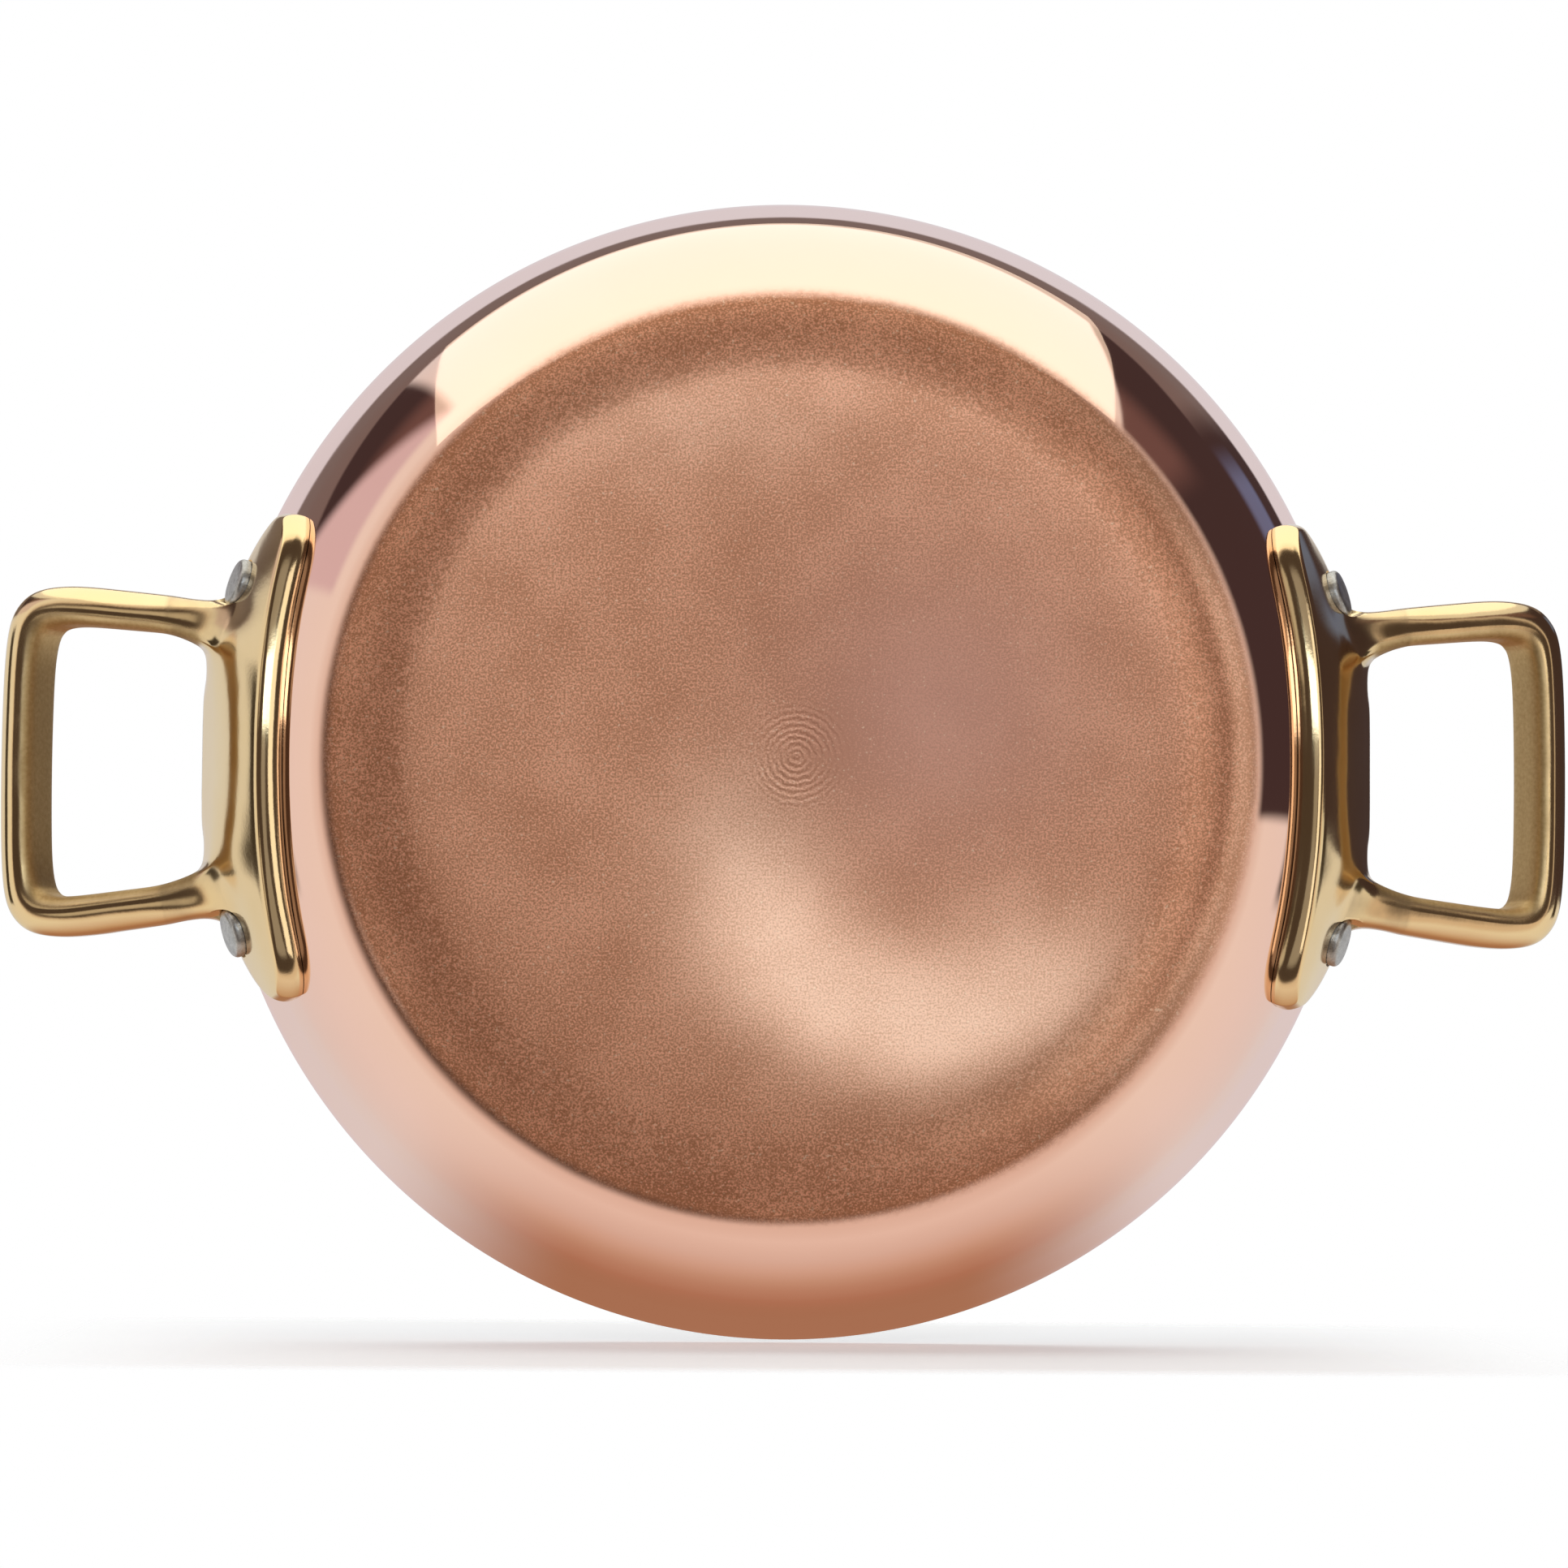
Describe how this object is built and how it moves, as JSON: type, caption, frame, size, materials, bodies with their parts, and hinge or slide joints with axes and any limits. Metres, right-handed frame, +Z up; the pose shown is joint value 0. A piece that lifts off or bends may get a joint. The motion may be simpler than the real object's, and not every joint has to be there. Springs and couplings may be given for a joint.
{
  "type": "copper frying pan",
  "caption": "Shallow round copper pan with a flared curved wall, a stainless skin inside and cast brass loop handles riveted on opposite sides.",
  "frame": {"origin": "centre of the flat bottom's outer face, which is what the pan rests on", "axes": "+Z up along the pan's axis towards the open rim; +X from the left handle to the right handle; +Y across, so -Y is the front"},
  "size_m": [0.2768, 0.1998, 0.0489],
  "materials": {
    "copper": "polished copper wall, bead-blasted matte copper underside",
    "stainless": "brushed stainless steel",
    "brass": "polished cast brass",
    "rivet_steel": "satin stainless steel"
  },
  "bodies": {
    "root": {"copper_body": "copper", "stainless_lining": "stainless", "handle_left": "brass", "handle_right": "brass", "rivet_left_front": "rivet_steel", "rivet_left_back": "rivet_steel", "rivet_right_front": "rivet_steel", "rivet_right_back": "rivet_steel"}
  },
  "joints": []
}
